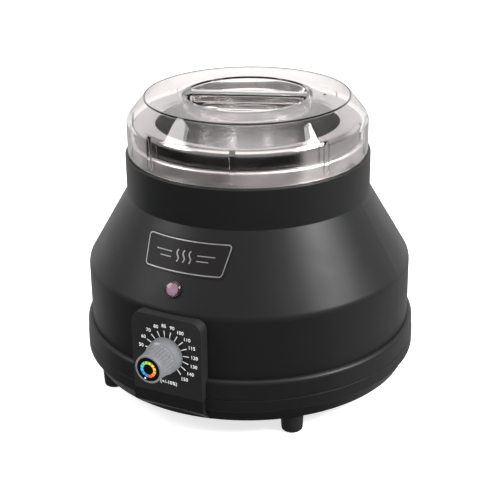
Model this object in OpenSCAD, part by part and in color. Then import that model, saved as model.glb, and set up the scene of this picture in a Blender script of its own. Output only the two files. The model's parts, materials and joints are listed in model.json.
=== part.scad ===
// Countertop wax heater: a black moulded body round a heated well, with a lift-out aluminium pot,
// a clear smoked lid with two finger pockets, and a thermostat knob on a flat front panel.
// Millimetres, +Z up. The front faces -Y. The origin is on the table, under the middle of the object.

/* [Body] */
// Height of the rubber feet
foot_h = 13; // [11:0.5:15]
// Height of the base pan
pan_h = 18.7; // [18:0.1:20]
// Height of the band above the pan
band_h = 14.2; // [13.5:0.1:16]
// Height of the upright wall above the band
wall_h = 43.5; // [42:0.1:44]
// Height of the sloping shoulder
cone_h = 51.1; // [50:0.1:54]
// Height of the upright collar
collar_h = 28.5; // [28:0.5:31]
// Outer radius of the band and the pan
band_r = 121.4; // [121:0.1:123]
// Outer radius of the upright wall
body_r = 117.4; // [117:0.1:118]
// Outer radius of the collar
collar_r = 87.6; // [87.2:0.1:88.5]
// Wall thickness of the mouldings
shell_t = 2.5; // [2:0.1:3]

/* [Pot and well] */
// Radius of the pot's mouth
mouth_r = 65; // [62:0.5:66]
// Outer radius of the pot's lip
lip_r = 80.5; // [80:0.1:81]
// Depth of the pot below its mouth
pot_depth = 80; // [70:1:82]
// Wall thickness of the pot
pot_t = 1.5; // [1.2:0.1:2]
// Outer radius of the well's rim
rim_r = 82; // [81.8:0.1:82.1]
// Height of the well's rim above the collar
rim_h = 10; // [8:0.5:11]

/* [Lid] */
// Outer radius of the lid's upright wall
lid_r = 85.7; // [85.5:0.1:86]
// Radius of the lid's sharp top edge
lid_top_r = 72.85; // [72:0.05:74]
// Height of the lid over the collar
lid_h = 40.4; // [39:0.1:42]
// Height of the lid's upright wall
lid_wall_h = 24; // [22:0.5:25]
// Wall thickness of the lid
lid_t = 2; // [1.6:0.1:2.4]
// Radius of the recess that holds the finger pockets
pocket_r = 43.6; // [40:0.1:45]
// Depth of the finger pockets
pocket_depth = 10; // [8:1:15]
// Width of the grip bar between the pockets
bar_w = 11; // [9:0.5:13]
// Direction of the grip bar, from the front towards the right
bar_angle = 110; // [0:5:175]

/* [Control panel] */
// Distance from the body's axis to the panel's face
panel_reach = 123.3; // [123:0.1:124]
// Half the width of the panel
panel_half_w = 26.3; // [25:0.1:28]
// Height of the panel
panel_h = 56.8; // [56:0.1:57.2]
// Radius of the panel's top corners
panel_corner_r = 7; // [4:0.5:9]
// Height of the dial's centre over the panel's lower edge
dial_up = 30.25; // [28:0.05:31]
// Distance of the dial's centre to the right of the panel's middle
dial_x = 0.4; // [0:0.1:1]

/* [Knob] */
// Largest radius of the knob's skirt
skirt_r = 12.6; // [12.2:0.1:13]
// Radius of the knob's face
face_r = 10; // [9.8:0.1:10.2]
// Reach of the knob's face from the panel
knob_h = 24.1; // [23:0.1:26]
// Where the pointer stands when switched off, clockwise from the top
off_angle = -159; // [-165:1:-150]

/* [Hidden] */
$fn = 96;
fit = 0.05;        // radial clearance of a pin, screw or shaft in its hole
gap = 0.3;         // clearance between pieces that move apart
seam = 0.2;        // visible joint between two mouldings

seam_z = foot_h + pan_h;
band_z = seam_z + band_h;
wall_z = band_z + wall_h;
cone_z = wall_z + cone_h;
collar_z = cone_z + collar_h;
rim_z = collar_z + rim_h;
lid_z = collar_z + lid_h;
cone_tilt = atan((body_r - collar_r) / cone_h);
axis_y = (panel_reach + knob_h - band_r) / 2;

pan_floor_t = 3;
pan_floor_z = foot_h + pan_floor_t;
chamfer_h = 9.3;
chamfer_in = 4.9;

foot_angles = [-138, -42, 42, 138];
foot_at_r = 107.5;
foot_r = 8;
foot_screw_r = 1.5;
post_angles = [-125, -70, 70, 125];
post_at_r = 98;
post_r = 4.5;
post_screw_r = 1.9;

ledge_r = 78;
ledge_t = 2.5;
gasket_t = 1.5;
ledge_z = collar_z - 3;
well_t = 1.5;
well_r = 70;
lip_rise = 11.8;
mouth_z = rim_z + lip_rise;
pot_floor_z = mouth_z - pot_depth;
well_floor_z = pot_floor_z - pot_t - 0.5;
boss_h = 12;
bolt_r = 3;
shield_z = well_floor_z - well_t - boss_h - 1;

dial_z = seam_z + seam + dial_up;
panel_t = 2.2;
bush_r = 5;
shaft_r = 3;
thermostat_size = [34, 27, 20];
tick_angles = [-83, -63, -43.5, -23.5, -5.5, 12, 30, 48, 66, 86, 105, 124, 143];

plate_z = [seam_z + 80.6, seam_z + 101.3];
plate_half_w = [29.6, 32.1];
plate_x = 1.3;
plate_t = 0.5;
lamp_x = -1;
lamp_z = seam_z + 71.5;
lamp_r = 4.9;

inlet_z = seam_z + 36;
pin_length = 30;
pin_places = [[-7, 3.5], [7, 3.5], [0, -3.2]];
inlet_size = [26.6, 19.1];
pad_half = [27, 15];
flange_t = 2;
inlet_head_h = 1.2;
flange_z = band_r - flange_t - inlet_head_h;
tab_size = [6.3, 8, 0.8];

// ---------------------------------------------------------------- helpers

function unit(v) = v / norm(v);
function short_turn(a) = a > 180 ? a - 360 : a < -180 ? a + 360 : a;

// The arc that rounds corner b, between its neighbours a and c, with radius r
function fillet(a, b, c, r, steps = 6) =
    let (u = unit(a - b), v = unit(c - b), half = acos(u * v) / 2,
         m = b + unit(u + v) * r / sin(half),
         p = b + u * r / tan(half) - m, q = b + v * r / tan(half) - m,
         start = atan2(p.y, p.x), turn = short_turn(atan2(q.y, q.x) - start))
    [for (i = [0:steps]) m + r * [cos(start + turn * i / steps), sin(start + turn * i / steps)]];

// An outline of [across, up, corner radius] points, with its corners rounded
function rounded(outline) =
    let (n = len(outline), at = function (i) [outline[i % n].x, outline[i % n].y])
    [for (i = [0:n - 1]) each (outline[i][2] == 0 ? [at(i)]
        : fillet(at(i + n - 1), at(i), at(i + 1), outline[i][2]))];

// A body of revolution about Z from an outline of [radius, height, corner radius] points
module lathe(outline, fn = 180) {
    rotate_extrude($fn = fn) polygon(rounded(outline));
}

// A hollow cylinder standing on z = 0
module tube(outer_r, inner_r, h) {
    difference() {
        cylinder(r = outer_r, h = h);
        translate([0, 0, -1]) cylinder(r = inner_r, h = h + 2);
    }
}

// A block centred on x and y, standing on z = 0
module block(size) {
    translate([-size.x / 2, -size.y / 2, 0]) cube(size);
}

// The body's axis
module on_axis() {
    translate([0, axis_y, 0]) children();
}

// A place round the axis: the angle runs from the front towards the right
module around(angle, r, z) {
    on_axis() rotate([0, 0, angle]) translate([0, -r, z]) children();
}

// The panel's middle line at the dial's height: local Z points out, X and Y lie as seen from the front
module on_panel(h = 0) {
    on_axis() translate([0, -panel_reach, dial_z]) rotate([90, 0, 0]) translate([0, 0, h]) children();
}

// The dial's centre, turned the same way
module on_dial(h = 0) {
    on_panel(h) translate([dial_x, 0, 0]) children();
}

// The inlet's centre: local Z points out of the back
module on_back(h = 0) {
    on_axis() translate([0, flange_z, inlet_z]) rotate([90, 0, 180])
        translate([0, 0, h]) children();
}

// Radius of the sloping shoulder's surface at a height
function cone_at(z) = body_r - (z - wall_z) * tan(cone_tilt);

// The pilot lamp's centre on the shoulder: local Z points out of the surface
module on_lamp(h = 0) {
    on_axis() translate([lamp_x, -cone_at(lamp_z), lamp_z]) rotate([90 - cone_tilt, 0, 0])
        translate([0, 0, h]) children();
}

// A pan-head screw: the head's top is at z = 0 and the shank points up
module screw(shank_r, length, head_r, head_h) {
    cylinder(r = head_r, h = head_h);
    cylinder(r = shank_r, h = head_h + length);
}

// Points of a smooth curve through the given ones
function spline(p, steps = 4) =
    let (n = len(p) - 1)
    [for (i = [0:n - 1]) for (k = [0:steps - 1])
        let (t = k / steps, a = p[max(i - 1, 0)], b = p[i], c = p[i + 1], d = p[min(i + 2, n)])
        (2 * b + (c - a) * t + (2 * a - 5 * b + 4 * c - d) * t * t
            + (3 * b - a - 3 * c + d) * t * t * t) / 2, p[n]];

// Directions along a path; its two ends run as the first and last stretch of the given points do
function tangents(path, p) =
    let (last = len(path) - 1, n = len(p) - 1)
    [for (i = [0:last]) i == 0 ? unit(p[1] - p[0]) : i == last ? unit(p[n] - p[n - 1])
        : unit(path[i + 1] - path[i - 1])];

function carried_normals(t, i, last) =
    i == len(t) ? []
    : let (m = unit(last - (last * t[i]) * t[i])) concat([m], carried_normals(t, i + 1, m));

// A round lead or pipe along a curve through the points
module lead(points, r, sides = 8) {
    path = spline(points);
    t = tangents(path, points);
    side = carried_normals(t, 0, abs(t[0].z) > 0.9 ? [1, 0, 0] : [0, 0, 1]);
    rings = len(path);
    skin = [for (i = [0:rings - 1]) for (k = [0:sides - 1])
        let (a = 360 * k / sides) path[i] + r * (cos(a) * side[i] + sin(a) * cross(t[i], side[i]))];
    walls = [for (i = [0:rings - 2]) for (k = [0:sides - 1])
        let (j = (k + 1) % sides) [i * sides + k, (i + 1) * sides + k, (i + 1) * sides + j, i * sides + j]];
    ends = [[for (k = [0:sides - 1]) k], [for (k = [sides - 1:-1:0]) (rings - 1) * sides + k]];
    on_axis() polyhedron(points = skin, faces = concat(walls, ends));
}

// ---------------------------------------------------------------- body mouldings

// A solid that reaches to the middle of the housing's wall, for trimming the posts inside it
module housing_core() {
    sunk = shell_t / 2;
    core_r = body_r - sunk;
    on_axis() lathe([[0, 0, 0], [core_r, 0, 0], [core_r, wall_z - sunk, 9],
        [collar_r - sunk, cone_z - sunk, 1.5], [collar_r - sunk, cone_z + 1, 0], [0, cone_z + 1, 0]]);
}

module housing_skin() {
    inner = body_r - shell_t;
    drop = shell_t * tan(cone_tilt / 2);
    on_axis() lathe([[body_r, seam_z, 0], [body_r, wall_z, 9], [collar_r, cone_z, 1.5],
        [collar_r, collar_z, 1.2], [rim_r + gap, collar_z, 0.4], [rim_r + gap, ledge_z, 0],
        [ledge_r, ledge_z, 0], [ledge_r, ledge_z - ledge_t, 0],
        [collar_r - shell_t, ledge_z - ledge_t, 0], [collar_r - shell_t, cone_z - drop, 0],
        [inner, wall_z - drop, 0], [inner, seam_z, 0]]);
}

// The outline of the control panel as seen from the front, grown by a clearance
module panel_outline(grow) {
    w = panel_half_w + grow;
    top = panel_h - dial_up + grow;
    polygon(rounded([[-w, -dial_up - grow, 0], [w, -dial_up - grow, 0],
        [w, top, panel_corner_r], [-w, top, panel_corner_r]]));
}

module upper_housing() {
    color([0.05, 0.05, 0.055])
    difference() {
        union() {
            housing_skin();
            intersection() {
                housing_core();
                for (a = post_angles) around(a, post_at_r, pan_floor_z) cylinder(r = post_r, h = cone_z);
            }
            difference() {
                on_back(-15) block([2 * pad_half.x, 2 * pad_half.y, 15]);
                on_axis() cylinder(r = body_r - shell_t, h = cone_z, $fn = 180);
            }
        }
        for (a = post_angles)
            around(a, post_at_r, pan_floor_z - 1) cylinder(r = post_screw_r + fit, h = 20);
        on_panel(-20) linear_extrude(30) panel_outline(seam);
        on_lamp(-8) cylinder(r = lamp_r + fit, h = 16);
        on_back(-20) block([inlet_size.x + 2 * fit, inlet_size.y + 2 * fit, 40]);
        for (side = [-1, 1]) on_back(-12) translate([side * 20, 0, 0]) cylinder(r = 1.5 + fit, h = 20);
    }
}

module base_ring() {
    round_r = 3.2;
    top_r = body_r + fit + round_r + 0.05;
    color([0.05, 0.05, 0.055])
    difference() {
        on_axis() lathe([[body_r + fit, seam_z + seam, 0], [band_r, seam_z + seam, 0.4],
            [top_r, band_z, round_r], [body_r + fit, band_z, 0]]);
        on_panel(-20) linear_extrude(30) panel_outline(seam);
    }
}

module base_pan() {
    inner = band_r - shell_t;
    bottom_r = band_r - 1 - chamfer_in;
    tuck = sqrt(bottom_r * bottom_r - panel_half_w * panel_half_w) - 0.1;
    color([0.05, 0.05, 0.055])
    difference() {
        union() {
            on_axis() lathe([[0, foot_h, 0], [band_r - 1 - chamfer_in, foot_h, 1.5],
                [band_r - 1, foot_h + chamfer_h, 1], [band_r, foot_h + chamfer_h + 1, 0.5],
                [band_r, seam_z, 0.4], [body_r - shell_t, seam_z, 0], [body_r - shell_t, seam_z - 3, 0],
                [inner, seam_z - 7, 0], [inner, foot_h + chamfer_h + 1, 0],
                [inner - chamfer_in, pan_floor_z, 0], [0, pan_floor_z, 0]]);
            translate([-panel_half_w, 0, 0]) rotate([90, 0, 90]) linear_extrude(2 * panel_half_w)
                polygon(rounded([for (p = [[inner - chamfer_in - 2, foot_h, 0], [tuck, foot_h, 0],
                    [panel_reach, foot_h + chamfer_h, 1], [panel_reach, seam_z, 0.4],
                    [inner - 4, seam_z, 0], [inner - 4, seam_z - 3, 0],
                    [inner, seam_z - 7, 0], [inner, foot_h + chamfer_h + 1, 0],
                    [inner - chamfer_in, pan_floor_z, 0], [inner - chamfer_in - 2, pan_floor_z, 0]])
                    [axis_y - p.x, p.y, p[2]]]));
            for (a = foot_angles) around(a, foot_at_r, foot_h) cylinder(r = 4, h = 11);
        }
        for (a = foot_angles) around(a, foot_at_r, 0) cylinder(r = foot_screw_r + fit, h = foot_h + 9);
        for (a = post_angles) around(a, post_at_r, 0) cylinder(r = post_screw_r + 0.2, h = 30);
        on_axis() cylinder(r = bolt_r + 0.2, h = 30);
        for (i = [0:11]) around(i * 30 + 15, 70, foot_h + 1) cube([3, 24, 10], center = true);
    }
}

module housing_screws() {
    color("silver")
    for (a = post_angles) around(a, post_at_r, foot_h - 2.2) screw(post_screw_r, 18, 3.6, 2.2);
}

module foot(angle) {
    tip_r = foot_r - 0.7;
    recess_z = 6;
    color([0.03, 0.03, 0.03])
    around(angle, foot_at_r, 0)
        lathe([[3.6, 0, 0], [tip_r, 0, 1.6], [foot_r, foot_h, 0], [foot_screw_r + fit, foot_h, 0],
            [foot_screw_r + fit, recess_z + 2, 0], [3.6, recess_z + 2, 0]], 48);
}

module foot_front_left() { foot(-42); }
module foot_front_right() { foot(42); }
module foot_rear_left() { foot(-138); }
module foot_rear_right() { foot(138); }

module foot_screws() {
    color("silver")
    for (a = foot_angles) around(a, foot_at_r, 6) screw(foot_screw_r, foot_h - 1, 3.3, 2);
}

// ---------------------------------------------------------------- panel, plates and lamp

module control_panel() {
    depth = 15;
    color([0.06, 0.06, 0.06])
    difference() {
        on_panel(-depth) linear_extrude(depth) panel_outline(0);
        on_panel(-depth - 1) linear_extrude(depth + 1 - panel_t) panel_outline(-panel_t);
        on_dial(-10) cylinder(r = bush_r + fit, h = 20);
    }
}

module dial_scale() {
    color("white")
    for (a = tick_angles) on_dial() rotate([0, 0, -a])
        translate([-0.35, 11.5, 0]) cube([0.7, 5.25, 0.15]);
}

// A thin slice of the shoulder's surface, cut to the name plate's outline
module plate_slice(from, to, inset) {
    cosine = cos(cone_tilt);
    pts = [for (p = [[0, from], [0, to], [1, to], [1, from]])
        let (z = p.x == 0 ? plate_z[0] - 4 : plate_z[1] + 4) [cone_at(z) + p.y / cosine, z, 0]];
    bottom = plate_half_w[0] - inset;
    top = plate_half_w[1] - inset;
    intersection() {
        on_axis() lathe(pts, 240);
        on_axis() translate([plate_x, 0, 0]) rotate([90, 0, 0]) linear_extrude(band_r)
            polygon(rounded([[-bottom, plate_z[0] + inset, 2.2], [bottom, plate_z[0] + inset, 2.2],
                [top, plate_z[1] - inset, 2.2], [-top, plate_z[1] - inset, 2.2]]));
    }
}

module nameplate() {
    color([0.02, 0.02, 0.02]) plate_slice(0, plate_t, 0);
}

module nameplate_border() {
    color("silver")
    difference() {
        plate_slice(plate_t, plate_t + 0.15, 0.4);
        plate_slice(plate_t - 1, plate_t + 1, 1.2);
    }
}

module rating_plate() {
    color("silver") on_axis() translate([0, 42, foot_h - 0.3]) block([34, 22, 0.3]);
}

module lamp_bezel() {
    color([0.05, 0.05, 0.05])
    on_lamp(0.2) lathe([[lamp_r - 0.6, -0.2, 0], [5.9, -0.2, 0], [5.9, 0.9, 0.5],
        [5.2, 1.3, 0.2], [lamp_r - 0.6, 1.3, 0]], 48);
}

module lamp_lens() {
    dome_r = 6;
    base_r = lamp_r - 0.65;
    sink = sqrt(dome_r * dome_r - base_r * base_r);
    color([0.62, 0.42, 0.6])
    on_lamp() {
        cylinder(r = base_r, h = 1.2);
        intersection() {
            translate([0, 0, 1.2 - sink]) sphere(r = dome_r);
            translate([0, 0, 1.2]) cylinder(r = base_r, h = dome_r);
        }
    }
}

module lamp_body() {
    color("gainsboro")
    on_lamp(-18) {
        cylinder(r = lamp_r, h = 18);
        for (side = [-1, 1]) translate([side * 2.5, 0, -6]) block([0.8, 2.8, 6]);
    }
}

module lamp_clip() {
    color("silver")
    on_lamp(-shell_t - 1.35) intersection() {
        tube(8, lamp_r + fit, 1);
        block([16, 12, 1]);
    }
}

// ---------------------------------------------------------------- heated well

module heating_well() {
    floor_low = well_floor_z - well_t;
    color([0.75, 0.75, 0.76])
    on_axis() lathe([[0, floor_low, 0], [well_r, floor_low, 8], [well_r, rim_z - well_t, 1],
        [rim_r - well_t, rim_z - well_t, 0.8], [rim_r - well_t, ledge_z + gasket_t, 0],
        [rim_r, ledge_z + gasket_t, 0], [rim_r, rim_z, 2], [well_r - well_t, rim_z, 2],
        [well_r - well_t, well_floor_z, 6.5], [0, well_floor_z, 0]]);
}

module well_boss() {
    color("silver")
    on_axis() translate([0, 0, well_floor_z - well_t - boss_h]) tube(7, bolt_r + fit, boss_h);
}

module well_gasket() {
    color("dimgray") on_axis() translate([0, 0, ledge_z]) tube(rim_r, ledge_r + 0.5, gasket_t);
}

heater_z = well_floor_z + 10;
heater_h = 36;
heater_t = 3;
lug_gap = 6;

module heater_band() {
    color("peru")
    on_axis() {
        difference() {
            translate([0, 0, heater_z]) tube(well_r + fit + heater_t, well_r + fit, heater_h);
            translate([well_r, -lug_gap / 2, heater_z - 1]) cube([10, lug_gap, heater_h + 2]);
        }
        for (side = [-1, 1]) difference() {
            translate([well_r + heater_t - 0.5, side * (lug_gap / 2 + 0.6) - 0.6, heater_z + 8])
                cube([9, 1.2, 20]);
            translate([well_r + heater_t + 5, 0, heater_z + 18]) rotate([90, 0, 0])
                cylinder(r = 1.5 + fit, h = 20, center = true);
        }
        for (a = [40, 56]) rotate([0, 0, a - 90]) translate([well_r + 1, -3.15, heater_z - 8])
            cube([tab_size.z, tab_size.x, tab_size.y + 1]);
    }
}

module band_screw() {
    color("silver")
    on_axis() translate([well_r + heater_t + 5, -lug_gap / 2 - 3.2, heater_z + 18]) rotate([-90, 0, 0])
        screw(1.5, lug_gap + 6, 2.8, 2);
}

module insulation_jacket() {
    color("lightyellow")
    on_axis() difference() {
        translate([0, 0, heater_z - 2]) tube(ledge_r - 0.5, well_r + heater_t + 0.2, heater_h + 4);
        translate([well_r, -lug_gap / 2 - 6, heater_z - 3]) cube([12, lug_gap + 12, heater_h + 6]);
    }
}

module heat_shield() {
    color("silver")
    on_axis() translate([0, 0, shield_z]) difference() {
        tube(60, bolt_r + fit, 1);
        translate([0, 48, -1]) cylinder(r = 2 + fit, h = 4);
    }
}

module shield_nut() {
    color("silver")
    on_axis() translate([0, 0, shield_z - 5]) difference() {
        cylinder(r = 5.77, h = 5, $fn = 6);
        translate([0, 0, -1]) cylinder(r = bolt_r + fit, h = 7);
    }
}

module centre_bolt() {
    head_h = 4;
    color("silver")
    on_axis() {
        translate([0, 0, foot_h - head_h]) cylinder(r = 5.77, h = head_h, $fn = 6);
        translate([0, 0, foot_h - 1]) cylinder(r = bolt_r, h = shield_z + boss_h - foot_h);
    }
}

fuse_r = 4;
fuse_y = 24;
bulb_r = 2.3;
bulb_y = -28;
floor_under = well_floor_z - well_t;

// A sheet-metal strap over a round piece that lies under the well's floor
module floor_strap(y, r, w) {
    on_axis() translate([-w / 2, y, floor_under]) rotate([90, 0, 90]) linear_extrude(w)
        difference() {
            polygon([[-r - 6, 0], [-r - 6, -0.8], [-r - 1, -0.8], [-r - 1, -r],
                [-r * 0.6 - 0.5, -2 * r - 0.9], [r * 0.6 + 0.5, -2 * r - 0.9],
                [r + 1, -r], [r + 1, -0.8], [r + 6, -0.8], [r + 6, 0]]);
            translate([0, -r]) circle(r = r + fit);
            translate([-r - fit, -r]) square([2 * (r + fit), r + 1]);
        }
}

module thermal_fuse() {
    color("white")
    on_axis() translate([-9, fuse_y, floor_under - fuse_r - fit]) rotate([0, 90, 0])
        cylinder(r = fuse_r, h = 18);
}

module fuse_strap() { color("silver") floor_strap(fuse_y, fuse_r, 7); }

module sensor_bulb() {
    color("orangered")
    on_axis() translate([-26, bulb_y, floor_under - bulb_r - fit]) rotate([0, 90, 0])
        cylinder(r = bulb_r, h = 52);
}

module bulb_strap() { color("silver") floor_strap(bulb_y, bulb_r, 9); }

// ---------------------------------------------------------------- thermostat and knob

module thermostat_body() {
    bush_out = 5;
    color("gainsboro")
    on_dial() difference() {
        union() {
            translate([0, 0, -panel_t - thermostat_size.z]) block(thermostat_size);
            translate([0, 0, -panel_t - 1]) cylinder(r = bush_r, h = panel_t + 1 + bush_out);
        }
        translate([0, 0, -12]) cylinder(r = shaft_r + fit, h = 20);
    }
}

module thermostat_terminals() {
    color("gold")
    for (side = [-1, 1]) on_dial(-panel_t - thermostat_size.z - tab_size.y)
        translate([side * 9, -6, 0]) block([tab_size.x, tab_size.z, tab_size.y]);
}

module thermostat_nut() {
    color("silver")
    on_dial() difference() {
        cylinder(r = 8, h = 2.6, $fn = 6);
        translate([0, 0, -1]) cylinder(r = bush_r + fit, h = 5);
    }
}

module thermostat_shaft() {
    shaft_end = 18.5;
    color("silver")
    on_dial() difference() {
        translate([0, 0, -11.5]) cylinder(r = shaft_r, h = 11.5 + shaft_end);
        rotate([0, 0, -off_angle]) translate([-5, -shaft_r - 2.5, 9]) cube([10, 4, 12]);
    }
}

ring_h = 8.3;
barrel_r = face_r + 0.8;
barrel_h = ring_h + 1;
cap_r = 8.5;
insert_r = 5;
insert_h = 11;
flutes = 24;

module knob_body() {
    color([0.62, 0.63, 0.64])
    on_dial() difference() {
        lathe([[0, 1, 0], [skirt_r, 1, 0.2], [skirt_r - 0.1, 3.2, 0.5], [skirt_r - 0.7, ring_h, 0.2],
            [barrel_r, barrel_h, 0.2], [face_r, knob_h - 3, 0], [face_r, knob_h, 0.8],
            [cap_r, knob_h, 0], [cap_r, knob_h - 0.8, 0], [0, knob_h - 0.8, 0]], 96);
        cylinder(r = 10.2, h = ring_h - 0.3);
        translate([0, 0, ring_h - 1]) cylinder(r = insert_r, h = insert_h + 1.2);
        for (i = [0:flutes - 1]) rotate([0, 0, 360 * i / flutes])
            translate([barrel_r + 0.2, 0, barrel_h + 0.4]) cylinder(r = 0.8, h = 11, $fn = 24);
    }
}

module knob_insert() {
    color("gold")
    on_dial(ring_h + 0.2) difference() {
        cylinder(r = insert_r, h = insert_h);
        translate([0, 0, -1]) cylinder(r = shaft_r + fit, h = insert_h);
    }
}

module knob_cap() { color([0.03, 0.03, 0.03]) on_dial(knob_h - 0.8) cylinder(r = cap_r, h = 0.6); }

// A plain scale of separate bars round the knob's face, running from cool to hot
module heat_marks() {
    color("orange")
    for (i = [0:11]) on_dial(knob_h - 0.2) rotate([0, 0, -i * 30 - 15])
        translate([-0.8, 3.9, 0]) cube([1.6, 1.9, 0.15]);
}

module knob_pointer() {
    color("white")
    on_dial(knob_h - 0.2) rotate([0, 0, -off_angle]) translate([0, 7.3, 0])
        cylinder(r = 0.65, h = 0.15, $fn = 24);
}

// ---------------------------------------------------------------- mains side

module mains_inlet() {
    depth = 22;
    color([0.05, 0.05, 0.05])
    on_back() difference() {
        union() {
            translate([0, 0, -depth]) block([inlet_size.x, inlet_size.y, depth + 1]);
            block([50, 24, flange_t]);
        }
        translate([0, 0, flange_t - 16]) linear_extrude(20)
            polygon([[-12.2, -3.2], [-7.2, -8.2], [7.2, -8.2], [12.2, -3.2], [12.2, 8.2], [-12.2, 8.2]]);
        for (side = [-1, 1]) translate([side * 20, 0, -1]) cylinder(r = 1.5 + fit, h = 5);
        for (p = pin_places) translate([p.x, p.y, -depth - 1]) block([2 + fit, 4 + fit, 10]);
    }
}

module inlet_pins() {
    color("gold")
    for (p = pin_places) on_back(-pin_length) translate([p.x, p.y, 0]) block([2, 4, pin_length]);
}

module inlet_screws() {
    color("silver")
    for (side = [-1, 1]) on_back(flange_t + inlet_head_h) translate([side * 20, 0, 0]) rotate([180, 0, 0])
        screw(1.5, 12, 2.8, inlet_head_h);
}

block_at = [46, 26];

module terminal_block() {
    color("ivory")
    on_axis() translate([block_at.x, block_at.y, pan_floor_z]) difference() {
        block([26, 18, 13]);
        for (side = [-1, 1]) {
            translate([side * 6, -10, 8]) rotate([-90, 0, 0]) cylinder(r = 2, h = 20);
            translate([side * 10.8, 0, -1]) cylinder(r = 1.2 + fit, h = 15);
        }
    }
}

module block_screws() {
    color("silver")
    on_axis() for (side = [-1, 1]) translate([block_at.x + side * 10.8, block_at.y, pan_floor_z + 14.6])
        rotate([180, 0, 0]) screw(1.2, 13, 2, 1.6);
}

module earth_screw() {
    color("gold") on_axis() translate([0, 48, shield_z - 2.5]) screw(2, 5, 3.6, 2.5);
}

// ---------------------------------------------------------------- leads inside the body

lead_r = 1.2;
tab_y = -panel_reach + panel_t + thermostat_size.z + tab_size.y;
pin_y = flange_z - pin_length;
pin_z = inlet_z + 3.5;
terminal_z = dial_z - 6;
block_z = pan_floor_z + 8;
case_x = dial_x - thermostat_size.x / 2;

module live_lead() {
    color("saddlebrown")
    lead([[-7, pin_y, pin_z], [-7, pin_y - 6, pin_z], [-24, 66, 50], [-44, 40, 30], [-52, 0, 26],
        [-46, -50, 34], [-20, -76, 52], [-9, tab_y + 6, terminal_z], [-9, tab_y, terminal_z]], lead_r);
}

module neutral_lead() {
    color("royalblue")
    lead([[7, pin_y, pin_z], [7, pin_y - 6, pin_z], [16, 66, 56], [32, 56, 34], [40, 46, block_z],
        [40, block_at.y + 9, block_z]], lead_r);
}

module switched_lead() {
    color("saddlebrown")
    lead([[9, tab_y, terminal_z], [9, tab_y + 6, terminal_z], [20, -76, 62], [34, -70, 84],
        [44, -60, 96], [46.3, -55.3, heater_z - 14], [46.3, -55.3, heater_z - 8]], lead_r);
}

module heater_lead() {
    color("royalblue")
    lead([[52, block_at.y - 9, block_z], [52, 8, block_z], [60, -14, 40], [62, -34, 70],
        [59.6, -40.5, heater_z - 14], [59.6, -40.5, heater_z - 8]], lead_r);
}

module earth_lead() {
    color("yellowgreen")
    lead([[0, pin_y, inlet_z - 3.2], [0, pin_y - 6, inlet_z - 3.2], [-2, 68, 62], [-1, 56, 74],
        [0, 48, shield_z - 8], [0, 48, shield_z - 2.5]], lead_r);
}

module lamp_leads() {
    tail = 24;
    y = -cone_at(lamp_z) + tail * cos(cone_tilt);
    z = lamp_z - tail * sin(cone_tilt);
    color("white") {
        lead([[lamp_x - 2.5, y, z], [lamp_x - 2.5, y + 4, z - 2.3], [-14, -76, 78], [-26, -84, 66],
            [-24, -104, 58], [case_x, -104, 58]], 0.8);
        lead([[lamp_x + 2.5, y, z], [lamp_x + 2.5, y + 4, z - 2.3], [10, -68, 74], [34, -30, 44],
            [42, 4, block_z], [40, block_at.y - 9, block_z]], 0.8);
    }
}

module capillary_tube() {
    bulb_z = floor_under - bulb_r - fit;
    color("peru")
    lead([[-26, bulb_y, bulb_z], [-36, bulb_y, bulb_z], [-58, -34, bulb_z - 2], [-64, -50, 90],
        [-44, -78, 78], [-32, -90, 72], [-26, -104, 68], [case_x, -104, 68]], 0.9);
}

// ---------------------------------------------------------------- pot and lid

module wax_pot() {
    skirt_z = rim_z + gap;
    taper = 4.5;
    floor_r = mouth_r - taper;
    lip_z = mouth_z + 2.4;
    color([0.82, 0.82, 0.83])
    on_axis() lathe([[0, pot_floor_z - pot_t, 0], [floor_r + pot_t, pot_floor_z - pot_t, 9],
        [mouth_r + pot_t, mouth_z - pot_t, 1], [lip_r - 3, lip_z - pot_t, 0],
        [lip_r - pot_t, lip_z - 4, 0], [lip_r - pot_t, skirt_z, 0], [lip_r, skirt_z, 0],
        [lip_r, lip_z, 3], [mouth_r, mouth_z, 2.2], [floor_r, pot_floor_z, 7.5], [0, pot_floor_z, 0]], 240);
}

// The half of the recess on one side of the grip bar
module half_moon(r, half_bar) {
    intersection() {
        circle(r = r, $fn = 180);
        translate([-r, half_bar]) square([2 * r, r]);
    }
}

lid_low = collar_z + gap;
lid_split_z = rim_z + 11;
cups_r = pocket_r + lid_t;
lid_tint = [0.8, 0.76, 0.74, 0.35];
wall_parts = 8;

// The direction of rib number i inside the lid's wall
function rib_angle(i) = 20 + 360 / wall_parts * (i - 1);

// A stretch of rib number i; ribs run into the wall behind them
module lid_rib(i, from, to) {
    depth = 1.2;
    around(rib_angle(i), lid_r - lid_t - depth, from) translate([-2, -depth - 0.4, 0])
        cube([4, depth + 0.4, to - from]);
}

// The lid's top and shoulder, round the pockets
module lid_shell() {
    shoulder = lid_low + lid_wall_h;
    color(lid_tint)
    difference() {
        union() {
            on_axis() lathe([[lid_r - lid_t, lid_split_z, 0], [lid_r, lid_split_z, 0], [lid_r, shoulder, 5],
                [lid_top_r, lid_z, 0.3], [cups_r, lid_z, 0], [cups_r, lid_z - lid_t, 0],
                [lid_top_r - 0.8, lid_z - lid_t, 0.3], [lid_r - lid_t, shoulder - 0.8, 3.5]], 240);
            for (i = [1:wall_parts]) lid_rib(i, lid_split_z, shoulder + 0.7);
        }
        around(bar_angle, 54.5, lid_z - 5) cylinder(r = 1, h = 10, $fn = 24);
    }
}

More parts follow.
